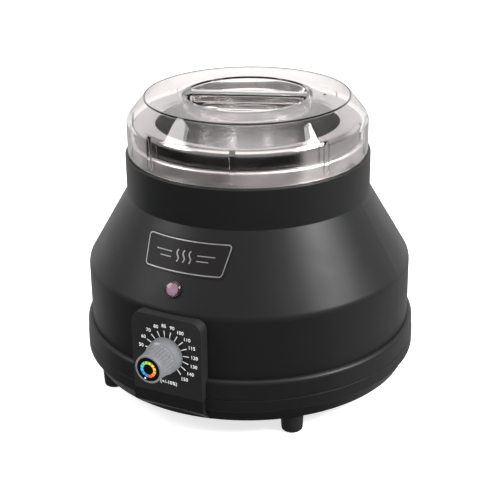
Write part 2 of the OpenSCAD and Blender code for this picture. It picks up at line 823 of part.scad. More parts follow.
// The two finger pockets and the grip bar between them
module lid_pockets() {
    cup_low = lid_z - pocket_depth - lid_t;
    color(lid_tint)
    difference() {
        on_axis() translate([0, 0, cup_low]) cylinder(r = cups_r, h = lid_z - cup_low, $fn = 180);
        for (side = [0, 180]) around(bar_angle, 0, lid_z - pocket_depth) rotate([0, 0, 90 + side])
            linear_extrude(pocket_depth + 1) half_moon(pocket_r, bar_w / 2);
        around(bar_angle, 0, cup_low - 1) rotate([0, 0, 90])
            block([2 * pocket_r - 6, bar_w - 2 * lid_t, pocket_depth + 1]);
    }
}

// Every second eighth of the lid's upright wall, each with its rib; the eighths meet face to face
module lid_wall(first) {
    turn = 360 / wall_parts;
    color(lid_tint)
    for (i = [first:2:wall_parts]) {
        on_axis() rotate([0, 0, rib_angle(i) - 90 - turn / 2]) rotate_extrude(angle = turn, $fn = 240)
            polygon(rounded([[lid_r - lid_t, lid_low, 0], [lid_r, lid_low, 0.5],
                [lid_r, lid_split_z, 0], [lid_r - lid_t, lid_split_z, 0]]));
        lid_rib(i, lid_low + 2, lid_split_z);
    }
}

module lid_wall_odd() { lid_wall(1); }
module lid_wall_even() { lid_wall(2); }

// ---------------------------------------------------------------- nodes

upper_housing();
base_ring();
base_pan();
housing_screws();
foot_front_left();
foot_front_right();
foot_rear_left();
foot_rear_right();
foot_screws();
control_panel();
dial_scale();
nameplate();
nameplate_border();
rating_plate();
lamp_bezel();
lamp_lens();
lamp_body();
lamp_clip();
heating_well();
well_boss();
well_gasket();
heater_band();
band_screw();
insulation_jacket();
heat_shield();
shield_nut();
centre_bolt();
thermal_fuse();
fuse_strap();
thermostat_body();
thermostat_terminals();
thermostat_nut();
thermostat_shaft();
sensor_bulb();
bulb_strap();
capillary_tube();
knob_body();
knob_insert();
knob_cap();
heat_marks();
knob_pointer();
mains_inlet();
inlet_pins();
inlet_screws();
terminal_block();
block_screws();
earth_screw();
live_lead();
neutral_lead();
switched_lead();
heater_lead();
earth_lead();
lamp_leads();
wax_pot();
lid_shell();
lid_pockets();
lid_wall_odd();
lid_wall_even();
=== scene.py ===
"""Looks of a countertop wax heater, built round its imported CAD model.

The CAD nodes give every place. The pieces whose surface matters most (lid, pot, well, knob, dial print, lamp
lens and the name plate's border) are made again here as fine meshes and stand for their nodes; the others
keep their CAD shape and get a finish. Sizes in the classes are in millimetres and are turned into metres as
the meshes are made.
"""

from __future__ import annotations

import json
import logging
import math
from dataclasses import dataclass, field
from enum import Enum
from typing import Callable, Iterable, Sequence

import bmesh
import bpy
from mathutils import Matrix, Vector

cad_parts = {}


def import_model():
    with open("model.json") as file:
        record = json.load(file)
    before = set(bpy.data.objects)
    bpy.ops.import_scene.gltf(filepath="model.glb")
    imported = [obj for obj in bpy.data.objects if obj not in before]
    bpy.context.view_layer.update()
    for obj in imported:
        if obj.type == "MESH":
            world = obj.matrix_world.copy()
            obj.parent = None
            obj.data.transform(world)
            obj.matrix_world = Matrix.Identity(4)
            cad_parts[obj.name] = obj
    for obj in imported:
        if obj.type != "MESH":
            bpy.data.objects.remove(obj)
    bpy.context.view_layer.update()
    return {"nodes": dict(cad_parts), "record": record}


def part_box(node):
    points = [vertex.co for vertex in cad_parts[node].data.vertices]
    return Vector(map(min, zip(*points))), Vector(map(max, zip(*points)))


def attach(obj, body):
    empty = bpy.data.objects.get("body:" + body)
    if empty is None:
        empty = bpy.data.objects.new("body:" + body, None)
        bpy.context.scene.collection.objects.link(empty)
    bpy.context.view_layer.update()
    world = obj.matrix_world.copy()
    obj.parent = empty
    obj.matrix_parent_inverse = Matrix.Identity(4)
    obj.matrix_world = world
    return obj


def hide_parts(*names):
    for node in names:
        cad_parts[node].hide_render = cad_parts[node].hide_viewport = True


LOG = logging.getLogger("wax_heater")
MM = 0.001
SHARP_ANGLE = math.radians(32)

Colour = tuple[float, float, float]
Outline = list[tuple[float, float]]


# ------------------------------------------------------------------ finishes


class Grain(Enum):
    """How the fine relief of a surface runs."""

    EVEN = "even"
    SPUN = "spun"


class Nodes:
    """Short calls for adding nodes to a tree."""

    def __init__(self, tree: bpy.types.NodeTree) -> None:
        """Keeps the tree."""
        self.tree = tree

    def add(self, kind: str, inputs: dict | None = None, **settings: object) -> bpy.types.Node:
        """Adds a node.

        Args:
            kind: The node's type.
            inputs: Values or sockets for its inputs, by name or number.
            settings: The node's own properties.

        Returns:
            The new node.
        """
        node = self.tree.nodes.new(kind)
        for key, value in settings.items():
            setattr(node, key, value)
        for key, value in (inputs or {}).items():
            if isinstance(value, bpy.types.NodeSocket):
                self.tree.links.new(value, node.inputs[key])
            else:
                node.inputs[key].default_value = value
        return node

    def math(self, kind: str, a: object, b: object = 0.0) -> bpy.types.NodeSocket:
        """Returns the result of one sum on two values or sockets."""
        return self.add("ShaderNodeMath", {0: a, 1: b}, operation=kind).outputs[0]

    def step(self, value: bpy.types.NodeSocket, low: float, high: float) -> bpy.types.NodeSocket:
        """Returns 0 below low and 1 above high, with a smooth change between."""
        ramp = self.add("ShaderNodeMapRange", {0: value, 1: low, 2: high}, interpolation_type="SMOOTHSTEP")
        return ramp.outputs[0]


class Graph(Nodes):
    """A new material with short calls for the nodes that the finishes share."""

    def __init__(self, name: str) -> None:
        """Makes the material and finds its shader.

        Args:
            name: What the material is called.
        """
        self.material = bpy.data.materials.new(name)
        self.material.use_nodes = True
        super().__init__(self.material.node_tree)
        self.shader = self.tree.nodes["Principled BSDF"]
        self.output = self.tree.nodes["Material Output"]

    def set(self, **values: object) -> None:
        """Sets or links inputs of the shader.

        Args:
            values: A value or socket by input name, where an underscore stands for a space.
        """
        for key, value in values.items():
            socket = self.shader.inputs[key.replace("_", " ")]
            if isinstance(value, bpy.types.NodeSocket):
                self.tree.links.new(value, socket)
            else:
                socket.default_value = value

    def place(self, grain: Grain) -> bpy.types.NodeSocket:
        """Gives texture coordinates in metres that follow the piece.

        Args:
            grain: SPUN keeps them constant round the body's axis, so that a texture becomes fine rings.

        Returns:
            The socket of the coordinates.
        """
        spot = self.add("ShaderNodeTexCoord").outputs["Object"]
        if grain is Grain.EVEN:
            return spot
        axis = Place.axis()
        moved = self.add("ShaderNodeVectorMath", {0: spot, 1: (axis.x, axis.y, 0.0)}, operation="SUBTRACT")
        parts = self.add("ShaderNodeSeparateXYZ", {0: moved.outputs[0]})
        x, y, z = parts.outputs
        squares = self.math("MULTIPLY", x, x), self.math("MULTIPLY", y, y)
        reach = self.math("SQRT", self.math("ADD", *squares))
        return self.add("ShaderNodeCombineXYZ", {0: reach, 2: z}).outputs[0]

    def noise(self, place: bpy.types.NodeSocket, size: float, detail: float = 2.0) -> bpy.types.NodeSocket:
        """Returns a noise whose grains are about size metres across."""
        inputs = {"Vector": place, "Scale": 1.0 / size, "Detail": detail}
        return self.add("ShaderNodeTexNoise", inputs).outputs[0]

    def ranged(self, value: bpy.types.NodeSocket, low: float, high: float) -> bpy.types.NodeSocket:
        """Returns the socket's 0.3 to 0.7 spread over low to high."""
        return self.add("ShaderNodeMapRange", {0: value, 1: 0.3, 2: 0.7, 3: low, 4: high}).outputs[0]

    def tinted(self, value: bpy.types.NodeSocket, a: Colour, b: Colour) -> bpy.types.NodeSocket:
        """Mixes two colours.

        Args:
            value: The share of b, from 0 to 1.
            a: The colour at 0.
            b: The colour at 1.

        Returns:
            The socket of the mixed colour.
        """
        mix = self.add("ShaderNodeMix", {0: value}, data_type="RGBA")
        mix.inputs["A"].default_value = (*a, 1.0)
        mix.inputs["B"].default_value = (*b, 1.0)
        return mix.outputs["Result"]

    def bump(self, height: bpy.types.NodeSocket, depth: float, strength: float = 1.0) -> None:
        """Raises the surface by depth metres where the height socket is 1."""
        bump = self.add("ShaderNodeBump", {"Height": height, "Distance": depth, "Strength": strength})
        self.set(Normal=bump.outputs[0])


def shaded(colour: Colour, share: float) -> Colour:
    """Returns the colour made lighter or darker by a share of itself."""
    return tuple(min(1.0, c * (1.0 + share)) for c in colour)


@dataclass(frozen=True)
class Moulding:
    """Moulded plastic or rubber with a fine, even texture."""

    colour: Colour
    roughness: float = 0.45
    grain_mm: float = 0.35
    depth_mm: float = 0.012
    specular: float = 0.5
    coat: float = 0.0
    speckle: float = 0.12

    def build(self, name: str) -> bpy.types.Material:
        """Makes the material.

        Args:
            name: What the material is called.

        Returns:
            The new material.
        """
        g = Graph(name)
        place = g.place(Grain.EVEN)
        fine = g.noise(place, self.grain_mm * MM, 3.0)
        broad = g.noise(place, 24 * MM, 3.0)
        colour = g.tinted(fine, shaded(self.colour, -self.speckle), shaded(self.colour, self.speckle))
        rough = g.ranged(broad, self.roughness * 0.93, min(1.0, self.roughness * 1.07))
        g.set(Base_Color=colour, Roughness=rough, Specular_IOR_Level=self.specular, Coat_Weight=self.coat)
        g.bump(fine, self.depth_mm * MM)
        return g.material


@dataclass(frozen=True)
class Metal:
    """Bare metal, with the marks that its making leaves."""

    colour: Colour
    roughness: float = 0.25
    grain: Grain = Grain.EVEN
    grain_mm: float = 0.25
    depth_mm: float = 0.002
    wear: float = 0.25

    def build(self, name: str) -> bpy.types.Material:
        """Makes the material.

        Args:
            name: What the material is called.

        Returns:
            The new material.
        """
        g = Graph(name)
        place = g.place(self.grain)
        lines = g.noise(place, self.grain_mm * MM, 2.0)
        smears = g.noise(g.place(Grain.EVEN), 18 * MM, 4.0)
        rough = g.ranged(smears, self.roughness * (1 - self.wear), self.roughness * (1 + self.wear))
        colour = g.tinted(lines, shaded(self.colour, -0.05), shaded(self.colour, 0.03))
        g.set(Base_Color=colour, Metallic=1.0, Roughness=rough)
        g.bump(lines, self.depth_mm * MM)
        return g.material


@dataclass(frozen=True)
class Clear:
    """Tinted plastic that shows what is behind it and lets the lamps through."""

    colour: Colour
    roughness: float = 0.03
    ior: float = 1.49
    shade: Colour = (0.8, 0.8, 0.8)

    def build(self, name: str) -> bpy.types.Material:
        """Makes the material.

        Args:
            name: What the material is called.

        Returns:
            The new material.
        """
        g = Graph(name)
        place = g.place(Grain.EVEN)
        ripple = g.noise(place, 14 * MM, 1.0)
        rough = g.ranged(ripple, self.roughness * 0.6, self.roughness * 1.4)
        g.set(Base_Color=(*self.colour, 1.0), Roughness=rough, IOR=self.ior, Transmission_Weight=1.0)
        g.bump(ripple, 0.01 * MM)
        through = g.add("ShaderNodeBsdfTransparent", {"Color": (*self.shade, 1.0)})
        rays = g.add("ShaderNodeLightPath")
        mix = g.add("ShaderNodeMixShader", {0: rays.outputs["Is Shadow Ray"]})
        g.tree.links.new(g.shader.outputs[0], mix.inputs[1])
        g.tree.links.new(through.outputs[0], mix.inputs[2])
        g.tree.links.new(mix.outputs[0], g.output.inputs["Surface"])
        return g.material


@dataclass(frozen=True)
class Felt:
    """Loose mineral fibre."""

    colour: Colour

    def build(self, name: str) -> bpy.types.Material:
        """Makes the material.

        Args:
            name: What the material is called.

        Returns:
            The new material.
        """
        g = Graph(name)
        fibres = g.noise(g.place(Grain.EVEN), 1.2 * MM, 8.0)
        g.set(Base_Color=g.tinted(fibres, shaded(self.colour, -0.3), self.colour), Roughness=0.95)
        g.set(Sheen_Weight=0.3)
        g.bump(fibres, 0.4 * MM)
        return g.material


@dataclass(frozen=True)
class HeatColours:
    """Gloss ink that turns from cool to hot round the knob's face."""

    stops: tuple[tuple[float, Colour], ...] = (
        (0.0, (0.01, 0.16, 0.75)),
        (0.22, (0.01, 0.42, 0.80)),
        (0.45, (0.25, 0.62, 0.06)),
        (0.68, (0.95, 0.55, 0.02)),
        (0.86, (0.95, 0.22, 0.01)),
        (1.0, (0.80, 0.03, 0.01)),
    )

    def build(self, name: str) -> bpy.types.Material:
        """Makes the material.

        Args:
            name: What the material is called.

        Returns:
            The new material.
        """
        g = Graph(name)
        spot = g.add("ShaderNodeTexCoord").outputs["Object"]
        centre = Place.dial()
        moved = g.add("ShaderNodeVectorMath", {0: spot, 1: tuple(centre)}, operation="SUBTRACT")
        x, _, z = g.add("ShaderNodeSeparateXYZ", {0: moved.outputs[0]}).outputs
        turn = g.math("DIVIDE", g.math("ARCTAN2", x, z), 2 * math.pi)
        share = g.math("FRACT", g.math("ADD", turn, 1.5))
        ramp = g.add("ShaderNodeValToRGB", {0: share})
        for n, (at, colour) in enumerate(self.stops):
            stop = ramp.color_ramp.elements[n] if n < 2 else ramp.color_ramp.elements.new(at)
            stop.position = at
            stop.color = (*colour, 1.0)
        g.set(Base_Color=ramp.outputs[0], Roughness=0.3, Coat_Weight=0.3)
        g.bump(g.noise(spot, 0.3 * MM), 0.004 * MM)
        return g.material


BLACK: Colour = (0.0070, 0.0071, 0.0073)
FINISHES: dict[str, Moulding | Metal | Clear | Felt | HeatColours] = {
    "housing_black": Moulding(BLACK, 0.42, 0.30, 0.006, 0.30),
    "pan_black": Moulding(BLACK, 0.45, 0.30, 0.006, 0.28),
    "panel_black": Moulding((0.013, 0.013, 0.013), 0.50, 0.45, 0.045, 0.40, speckle=0.5),
    "foot_rubber": Moulding((0.010, 0.010, 0.010), 0.62, 0.5, 0.02, 0.3),
    "steel_zinc": Metal((0.62, 0.62, 0.60), 0.32),
    "scale_white": Moulding((0.86, 0.86, 0.86), 0.55, 0.2, 0.004),
    "plate_black": Moulding((0.0105, 0.0088, 0.0092), 0.42, 0.8, 0.004, 0.18),
    "plate_silver": Metal((0.36, 0.36, 0.36), 0.55),
    "rating_silver": Metal((0.60, 0.60, 0.60), 0.40),
    "lamp_bezel_black": Moulding((0.012, 0.012, 0.012), 0.25, 0.3, 0.003, 0.5),
    "lamp_violet": Clear((0.60, 0.43, 0.54), 0.08, 1.5, (0.7, 0.5, 0.65)),
    "lamp_white": Moulding((0.50, 0.44, 0.45), 0.5),
    "well_aluminium": Metal((0.92, 0.92, 0.93), 0.42, Grain.SPUN, 0.30, 0.0015),
    "pot_aluminium": Metal((0.91, 0.91, 0.92), 0.13, Grain.SPUN, 0.35, 0.0012),
    "gasket_grey": Moulding((0.25, 0.25, 0.25), 0.6),
    "heater_mica": Moulding((0.42, 0.32, 0.22), 0.5, 1.2, 0.05),
    "wool": Felt((0.85, 0.83, 0.75)),
    "shield_aluminium": Metal((0.80, 0.80, 0.80), 0.35),
    "ceramic_white": Moulding((0.85, 0.83, 0.78), 0.25, 0.6, 0.01, 0.5, 0.3),
    "thermostat_steel": Metal((0.60, 0.60, 0.58), 0.35),
    "brass_tab": Metal((0.80, 0.62, 0.25), 0.28),
    "copper_tube": Metal((0.85, 0.45, 0.28), 0.30),
    "knob_grey": Moulding((0.165, 0.17, 0.178), 0.30, 0.25, 0.006, 0.6),
    "cap_black": Moulding((0.004, 0.004, 0.004), 0.24, 0.8, 0.002, 0.3),
    "marks_colour": HeatColours(),
    "pointer_white": Moulding((0.90, 0.90, 0.90), 0.45),
    "inlet_black": Moulding((0.015, 0.015, 0.015), 0.42, 0.4, 0.01),
    "lead_brown": Moulding((0.20, 0.09, 0.04), 0.42),
    "lead_blue": Moulding((0.03, 0.13, 0.48), 0.42),
    "lead_green": Moulding((0.28, 0.48, 0.05), 0.42),
    "lead_white": Moulding((0.80, 0.80, 0.80), 0.42),
    "lid_smoke": Clear((0.82, 0.79, 0.78), 0.015, 1.49, (0.86, 0.84, 0.83)),
}


# ------------------------------------------------------------------ places and meshes


class Place:
    """Places that the CAD nodes give."""

    @staticmethod
    def axis() -> Vector:
        """Returns the foot of the body's round axis, on the table."""
        low, high = (Vector(corner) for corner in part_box("wax_pot"))
        middle = (low + high) / 2
        return Vector((middle.x, middle.y, 0.0))

    @staticmethod
    def dial() -> Vector:
        """Returns the dial's centre on the control panel's face."""
        low, high = (Vector(corner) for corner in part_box("knob_body"))
        middle = (low + high) / 2
        return Vector((middle.x, Vector(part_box("control_panel")[0]).y, middle.z))

    @staticmethod
    def span(node: str) -> tuple[float, float]:
        """Returns a node's lowest and highest point, in millimetres."""
        low, high = (Vector(corner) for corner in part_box(node))
        return low.z / MM, high.z / MM


class Finisher:
    """Makes each finish once and puts it on pieces and nodes."""

    def __init__(self, slots: dict[str, str]) -> None:
        """Keeps the record's material slot of every node.

        Args:
            slots: Slot name by node name.
        """
        self.slots = slots
        self.made: dict[str, bpy.types.Material] = {}

    def material(self, slot: str) -> bpy.types.Material:
        """Gives the material of a slot, made when it is first wanted.

        Args:
            slot: The record's material slot.

        Returns:
            The slot's material.
        """
        if slot not in self.made:
            self.made[slot] = FINISHES[slot].build(slot)
        return self.made[slot]

    def dress(self, piece: bpy.types.Object, slot: str) -> None:
        """Puts a slot's finish on all of a piece's faces."""
        piece.data.materials.clear()
        piece.data.materials.append(self.material(slot))

    def dress_nodes(self, nodes: dict[str, bpy.types.Object]) -> None:
        """Gives every CAD node the finish of its slot.

        Args:
            nodes: The CAD nodes' objects by name.
        """
        for name, node in nodes.items():
            for holder in node.material_slots:
                holder.material = self.material(self.slots[name])
            LOG.info("node %s: %s", name, self.slots[name])

    def add(self, piece: bpy.types.Object, body: str, slot: str, *stands_for: str) -> bpy.types.Object:
        """Dresses a new piece, lets it ride on a body and says which nodes it stands for.

        Args:
            piece: The new object.
            body: The CAD body that it moves with.
            slot: The record's material slot.
            stands_for: The CAD nodes that it replaces.

        Returns:
            The same piece.
        """
        self.dress(piece, slot)
        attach(piece, body)
        if stands_for:
            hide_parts(*stands_for)
        LOG.info("piece %s on %s, %d faces", piece.name, body, len(piece.data.polygons))
        return piece


def rounded(corners: Sequence[tuple[float, float, float]], steps: int = 8) -> Outline:
    """Rounds the corners of a closed outline.

    Args:
        corners: Points as (across, up, corner radius).
        steps: Stretches in each rounded corner.

    Returns:
        The outline's points in order.
    """
    points: Outline = []
    count = len(corners)
    for n, (x, y, radius) in enumerate(corners):
        here = Vector((x, y))
        if radius == 0:
            points.append((x, y))
            continue
        to_last = (Vector(corners[n - 1][:2]) - here).normalized()
        to_next = (Vector(corners[(n + 1) % count][:2]) - here).normalized()
        half = to_last.angle(to_next) / 2
        centre = here + (to_last + to_next).normalized() * radius / math.sin(half)
        first = here + to_last * radius / math.tan(half) - centre
        last = here + to_next * radius / math.tan(half) - centre
        start = math.atan2(first.y, first.x)
        turn = (math.atan2(last.y, last.x) - start + math.pi) % (2 * math.pi) - math.pi
        for k in range(steps + 1):
            a = start + turn * k / steps
            points.append((centre.x + radius * math.cos(a), centre.y + radius * math.sin(a)))
    return points


def divided(outline: Outline, longest: float) -> Outline:
    """Puts points into the long straight stretches of an outline of revolution.

    Args:
        outline: A closed outline.
        longest: The longest stretch to leave.

    Returns:
        The outline with more points.
    """
    points: Outline = []
    for n, (x, y) in enumerate(outline):
        nx, ny = outline[(n + 1) % len(outline)]
        parts = max(1, math.ceil(math.hypot(nx - x, ny - y) / longest))
        if x < 1e-6 and nx < 1e-6:
            parts = 1
        points += [(x + (nx - x) * k / parts, y + (ny - y) * k / parts) for k in range(parts)]
    return points


def finished(name: str, bm: bmesh.types.BMesh) -> bpy.types.Object:
    """Turns a mesh in millimetres into an object in metres with smooth faces and sharp edges.

    Args:
        name: The piece's name.
        bm: The mesh, which is freed.

    Returns:
        The new object, in the scene.
    """
    bmesh.ops.remove_doubles(bm, verts=bm.verts, dist=1e-4)
    bmesh.ops.recalc_face_normals(bm, faces=bm.faces)
    bmesh.ops.scale(bm, vec=(MM, MM, MM), verts=bm.verts)
    mesh = bpy.data.meshes.new(name)
    bm.to_mesh(mesh)
    bm.free()
    mesh.shade_smooth()
    mesh.set_sharp_from_angle(angle=SHARP_ANGLE)
    piece = bpy.data.objects.new(name, mesh)
    bpy.context.scene.collection.objects.link(piece)
    return piece


def skin(bm: bmesh.types.BMesh, rings: list[list[bmesh.types.BMVert]], closed: bool = True) -> None:
    """Joins rings of vertices of equal length with faces.

    Args:
        bm: The mesh.
        rings: The rings in order.
        closed: Whether each ring runs back to its first vertex.
    """
    for low, high in zip(rings, rings[1:]):
        count = len(low)
        for k in range(count if closed else count - 1):
            corners = [low[k], low[(k + 1) % count], high[(k + 1) % count], high[k]]
            unique = list(dict.fromkeys(corners))
            if len(unique) > 2:
                bm.faces.new(unique)


def revolve(
    bm: bmesh.types.BMesh, outline: Outline, centre: Vector, segments: int = 192,
    swell: Callable[[float, float, float], float] | None = None,
) -> None:
    """Adds a body of revolution about Z.

    Args:
        bm: The mesh, in millimetres.
        outline: A closed outline as (radius, height); points on the axis become one vertex.
        centre: The axis's foot.
        segments: Faces round the axis.
        swell: Returns the radius to use from (radius, height, angle).
    """
    rings = []
    for r, z in outline:
        if r < 1e-6:
            rings.append([bm.verts.new((centre.x, centre.y, centre.z + z))] * segments)
            continue
        ring = []
        for k in range(segments):
            a = 2 * math.pi * k / segments
            reach = swell(r, z, a) if swell else r
            spot = (centre.x + reach * math.sin(a), centre.y - reach * math.cos(a), centre.z + z)
            ring.append(bm.verts.new(spot))
        rings.append(ring)
    if outline[0][0] < 1e-6 and outline[-1][0] < 1e-6:
        skin(bm, rings)
    else:
        skin(bm, rings + rings[:1])


def loft(bm: bmesh.types.BMesh, rings: Iterable[Iterable[Vector]]) -> None:
    """Adds a closed solid through rings of points, with flat ends.

    Args:
        bm: The mesh, in millimetres.
        rings: Rings of equal length, from one end to the other.
    """
    made = [[bm.verts.new(p) for p in ring] for ring in rings]
    skin(bm, made)
    bm.faces.new(made[0])
    bm.faces.new(list(reversed(made[-1])))


def block(
    bm: bmesh.types.BMesh, low: Sequence[float], high: Sequence[float], turn: Matrix, cut: float
) -> None:
    """Adds a block with chamfered edges.

    Args:
        bm: The mesh.
        low: The lowest corner.
        high: The highest corner.
        turn: Where the block goes.
        cut: The width of the chamfers.
    """
    made = bmesh.ops.create_cube(bm, size=1.0)["verts"]
    size = Vector(high) - Vector(low)
    middle = (Vector(high) + Vector(low)) / 2
    for v in made:
        v.co = Vector((v.co.x * size.x, v.co.y * size.y, v.co.z * size.z)) + middle
    edges = list({e for v in made for e in v.link_edges})
    result = bmesh.ops.bevel(bm, geom=edges, offset=cut, segments=2, affect="EDGES", profile=0.5)
    own = {v for f in result["faces"] for v in f.verts}
    own |= {v for v in made if v.is_valid}
    bmesh.ops.transform(bm, matrix=turn, verts=list(own))


def solid_of(name: str, build: Callable[[bmesh.types.BMesh], None]) -> bpy.types.Object:
    """Makes a helper object in millimetres for cutting and joining.

    Args:
        name: What the helper is called.
        build: Fills its mesh.

    Returns:
        The helper, in the scene.
    """
    bm = bmesh.new()
    build(bm)
    bmesh.ops.remove_doubles(bm, verts=bm.verts, dist=1e-4)
    bmesh.ops.recalc_face_normals(bm, faces=bm.faces)
    mesh = bpy.data.meshes.new(name)
    bm.to_mesh(mesh)
    bm.free()
    helper = bpy.data.objects.new(name, mesh)
    bpy.context.scene.collection.objects.link(helper)
    return helper


def carved(
    name: str, base: bpy.types.Object, steps: Sequence[tuple[str, bpy.types.Object]]
) -> bpy.types.Object:
    """Cuts and joins helpers into one solid.

    Args:
        name: The piece's name.
        base: The helper that is worked on.
        steps: ("UNION" or "DIFFERENCE", helper) pairs in order.

    Returns:
        The finished piece, in metres; the helpers are removed.
    """
    for kind, helper in steps:
        work = base.modifiers.new(kind, "BOOLEAN")
        work.operation = kind
        work.object = helper
        work.solver = "EXACT"
    depsgraph = bpy.context.evaluated_depsgraph_get()
    bm = bmesh.new()
    bm.from_mesh(base.evaluated_get(depsgraph).to_mesh())
    base.evaluated_get(depsgraph).to_mesh_clear()
    for helper in [base, *(h for _, h in steps)]:
        bpy.data.meshes.remove(helper.data)
    bmesh.ops.dissolve_degenerate(bm, dist=1e-4, edges=bm.edges)
    return finished(name, bm)


# ------------------------------------------------------------------ body


@dataclass
class Shoulder:
    """The sloping shoulder that carries the name plate."""

    wall_r: float = 117.4
    collar_r: float = 87.6
    foot: float = 89.4
    top: float = 140.5

    def reach(self, z: float) -> float:
        """Returns the shoulder's radius at a height."""
        return self.wall_r - (z - self.foot) * (self.wall_r - self.collar_r) / (self.top - self.foot)

    @property
    def tilt(self) -> float:
        """The angle between the shoulder and the upright."""
        return math.atan2(self.wall_r - self.collar_r, self.top - self.foot)

    def spot(self, across: float, z: float, lift: float) -> Vector:
        """Gives a point on or over the shoulder.

        Args:
            across: The way round from the front, in millimetres.
            z: The height.
            lift: How far the point stands off the surface.

        Returns:
            The point in millimetres.
        """
        axis = Place.axis() / MM
        r = self.reach(z)
        a = across / r
        out = Vector((math.sin(a), -math.cos(a), 0.0))
        normal = out * math.cos(self.tilt) + Vector((0, 0, math.sin(self.tilt)))
        return axis + out * r + Vector((0, 0, z)) + normal * lift


@dataclass
class NamePlate:
    """The black name plate with its bright border and a plain motif in place of lettering."""

    shoulder: Shoulder = field(default_factory=Shoulder)
    thickness: float = 0.5
    print_lift: float = 0.06
    margin: float = 1.05
    line: float = 0.7
    corner: float = 2.2
    flare: float = 2.7
    waves: int = 3
    wave_gap: float = 4.6
    wave_swing: float = 0.9
    wave_h: float = 7.2
    wave_line: float = 0.85
    wave_steps: int = 24
    rules: tuple[tuple[float, float], ...] = ((1.6, 12.5), (-1.6, 8.5))
    rule_start: float = 9.5
    rule_line: float = 0.6
    rule_steps: int = 12

    def outline(self, inset: float) -> list[tuple[float, float]]:
        """Gives the plate's outline, made smaller.

        Args:
            inset: How far the outline stands in from the plate's edge.

        Returns:
            Points as (way round, height).
        """
        (left, _, low), (right, _, high) = (Vector(corner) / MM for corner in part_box("nameplate"))
        reach = self.shoulder.reach(high)
        ends = [reach * math.asin(side / reach) for side in (left, right)]
        middle, half = sum(ends) / 2, (ends[1] - ends[0]) / 2
        bottom, top = half - self.flare - inset, half - inset
        return divided(
            rounded([
                (middle - bottom, low + inset, self.corner), (middle + bottom, low + inset, self.corner),
                (middle + top, high - inset, self.corner), (middle - top, high - inset, self.corner),
            ]),
            1.5,
        )

    def band(self, bm: bmesh.types.BMesh, path: list[Vector], width: float, closed: bool) -> None:
        """Adds a printed line on the plate.

        Args:
            bm: The mesh.
            path: The line's middle as (way round, height).
            width: The line's width.
            closed: Whether the line runs back to its start.
        """
        count = len(path)
        rings = []
        for n, p in enumerate(path):
            before = path[n - 1] if closed or n else p
            after = path[(n + 1) % count] if closed or n < count - 1 else p
            way = (after - before).normalized()
            side = Vector((-way.y, way.x)) * width / 2
            low, high = self.thickness, self.thickness + self.print_lift
            ring = [(p - side, low), (p - side, high), (p + side, high), (p + side, low)]
            rings.append([bm.verts.new(self.shoulder.spot(q.x, q.y, lift)) for q, lift in ring])
        if closed:
            skin(bm, rings + rings[:1])
            return
        skin(bm, rings)
        bm.faces.new(rings[0])
        bm.faces.new(list(reversed(rings[-1])))

    def motif(self, bm: bmesh.types.BMesh) -> None:
        """Adds rising warm-air waves with two rules on each side.

        Args:
            bm: The mesh.
        """
        (left, _, low), (right, _, high) = (Vector(corner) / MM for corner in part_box("nameplate"))
        middle, centre = (low + high) / 2, (left + right) / 2
        for n in range(self.waves):
            x = centre + (n - (self.waves - 1) / 2) * self.wave_gap
            shares = [k / self.wave_steps for k in range(self.wave_steps + 1)]
            wave = [
                Vector((x + self.wave_swing * math.sin(t * 2 * math.pi), middle + self.wave_h * (t - 0.5)))
                for t in shares
            ]
            self.band(bm, wave, self.wave_line, False)
        for side in (-1, 1):
            for row, length in self.rules:
                reach = [self.rule_start + length * k / self.rule_steps for k in range(self.rule_steps + 1)]
                rule = [Vector((centre + side * way, middle + row)) for way in reach]
                self.band(bm, rule, self.rule_line, False)

    def build(self, finisher: Finisher) -> None:
        """Makes the border and the motif.

        Args:
            finisher: Dresses the pieces.
        """
        bm = bmesh.new()
        self.band(bm, [Vector(p) for p in self.outline(self.margin)], self.line, True)
        finisher.add(finished("plate_border", bm), "root", "plate_silver", "nameplate_border")
        bm = bmesh.new()
        self.motif(bm)
        finisher.add(finished("plate_motif", bm), "root", "plate_silver")


@dataclass
class PilotLamp:
    """The domed lens of the pilot lamp, whose brim covers the bezel."""

    stem_r: float = 4.2
    brim_r: float = 5.7
    brim_low: float = 1.55
    brim_high: float = 1.8
    dome: float = 1.5
    bezel_h: float = 1.5
    shoulder: Shoulder = field(default_factory=Shoulder)

    def turn(self) -> Matrix:
        """Returns where the lamp goes: local Z points out of the shoulder."""
        low, high = (Vector(corner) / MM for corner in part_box("lamp_bezel"))
        middle = (low + high) / 2
        out = Vector((0, -math.cos(self.shoulder.tilt), math.sin(self.shoulder.tilt)))
        spot = self.shoulder.spot(middle.x, (middle - out * self.bezel_h / 2).z, 0.0)
        return Matrix.Translation(spot) @ Matrix.Rotation(math.pi / 2 - self.shoulder.tilt, 4, "X")

    def build(self, finisher: Finisher) -> None:
        """Makes the lens: a stem in the bezel, a brim and a low dome.

        Args:
            finisher: Dresses the pieces.
        """
        bm = bmesh.new()
        rise = [
            (self.brim_r * math.cos(a), self.brim_high + self.dome * math.sin(a))
            for a in (math.pi / 2 * k / 12 for k in range(13))
        ]
        outline = [(0.0, 0.0), (self.stem_r, 0.0), (self.stem_r, self.brim_low), (self.brim_r, self.brim_low),
                   *rise[:-1], (0.0, self.brim_high + self.dome)]
        revolve(bm, divided(outline, 1.2), Vector((0, 0, 0)), 64)
        bmesh.ops.transform(bm, matrix=self.turn(), verts=bm.verts)
        finisher.add(finished("lamp_dome", bm), "root", "lamp_violet", "lamp_lens")


